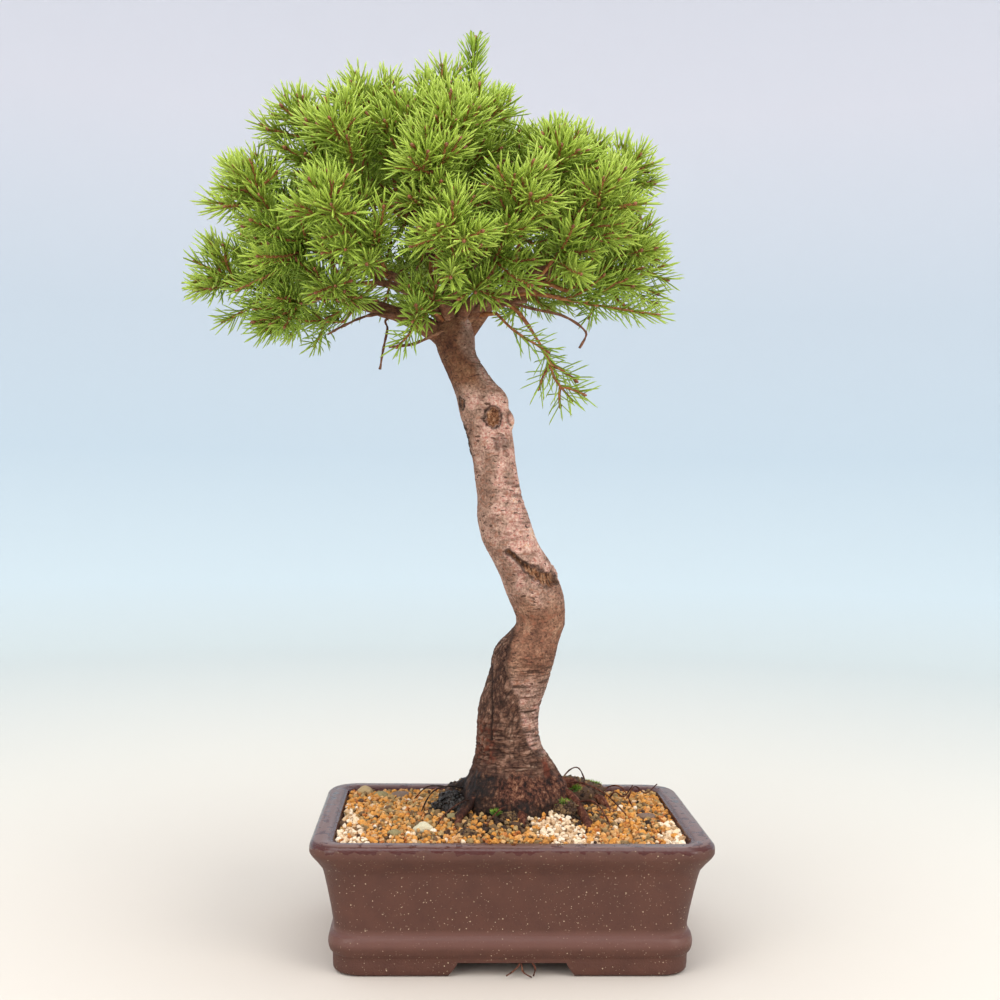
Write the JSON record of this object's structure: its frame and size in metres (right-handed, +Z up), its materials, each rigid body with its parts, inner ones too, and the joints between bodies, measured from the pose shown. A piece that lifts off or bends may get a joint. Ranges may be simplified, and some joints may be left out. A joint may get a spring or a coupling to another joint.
{
  "type": "spruce bonsai in a pot",
  "caption": "Spruce bonsai with a bare curved trunk and a rounded needled crown, standing in a rectangular unglazed footed pot filled with granular soil.",
  "frame": {"origin": "centre of the whole object's outline on the surface it stands on", "axes": "+Z up, +X to the right and +Y to the back as seen from the pot's long front side"},
  "size_m": [0.2868, 0.2332, 0.5043],
  "materials": {
    "stoneware": "matte",
    "soil": "matte",
    "mesh_plastic": "matte",
    "bark": "matte",
    "needles": "satin"
  },
  "bodies": {
    "root": {"branchlet_01": "needles", "branchlet_02": "needles", "branchlet_03": "needles", "branchlet_04": "needles", "branchlet_05": "needles", "branchlet_06": "needles", "branchlet_07": "needles", "branchlet_08": "needles", "branchlet_09": "needles", "branchlet_10": "needles", "branchlet_11": "needles", "branchlet_12": "needles", "branchlet_13": "needles", "branchlet_14": "needles", "branchlet_15": "needles", "branchlet_16": "needles", "branchlet_17": "needles", "branchlet_18": "needles", "branchlet_19": "needles", "branchlet_20": "needles", "branchlet_21": "needles", "branchlet_22": "needles", "branchlet_23": "needles", "branchlet_24": "needles", "branchlet_25": "needles", "branchlet_26": "needles", "branchlet_27": "needles", "branchlet_28": "needles", "branchlet_29": "needles", "branchlet_30": "needles", "branchlet_31": "needles", "branchlet_32": "needles", "branchlet_33": "needles", "branchlet_34": "needles", "branchlet_35": "needles", "branchlet_36": "needles", "branchlet_37": "needles", "branchlet_beside_leader": "needles", "branchlet_front_centre": "needles", "branchlet_front_low_centre": "needles", "branchlet_front_low_left": "needles", "branchlet_hanging_long": "needles", "branchlet_hanging_short": "needles", "branchlet_leader": "needles", "branchlet_left_low": "needles", "branchlet_low_right": "needles", "branchlet_mid_right": "needles", "drain_mesh_left": "mesh_plastic", "drain_mesh_right": "mesh_plastic", "pot": "stoneware", "soil": "soil", "tree_wood": "bark"}
  },
  "joints": []
}
